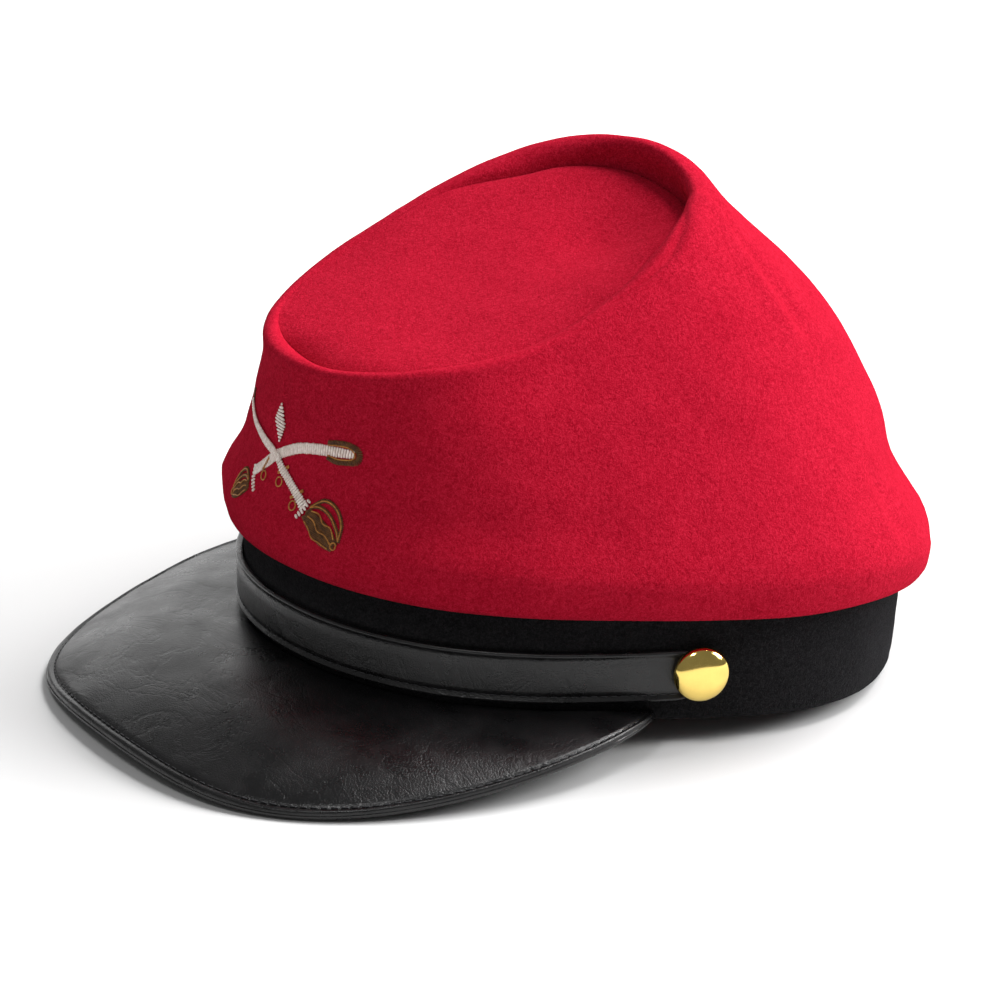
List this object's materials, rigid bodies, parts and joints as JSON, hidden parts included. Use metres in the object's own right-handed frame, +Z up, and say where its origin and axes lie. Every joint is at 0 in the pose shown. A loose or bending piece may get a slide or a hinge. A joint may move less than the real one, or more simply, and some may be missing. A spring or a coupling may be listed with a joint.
{
  "type": "kepi cap",
  "caption": "Kepi cap: red felt crown with a sloping recessed oval top, black felt headband, curved leather peak, chin strap and domed side buttons.",
  "frame": {"origin": "centre of the cap's footprint on the surface it rests on", "axes": "+Z up from the surface, -Y towards the peak, +X towards the wearer's left"},
  "size_m": [0.203, 0.2542, 0.1381],
  "materials": {
    "red_felt": "brushed wool felt, matte",
    "black_felt": "wool felt, matte",
    "black_leather": "grained, satin",
    "brass": "polished"
  },
  "bodies": {
    "root": {"crown_side": "red_felt", "crown_top": "red_felt", "band": "black_felt", "visor": "black_leather", "chin_strap": "black_leather", "button_left": "brass", "button_right": "brass"}
  },
  "joints": []
}
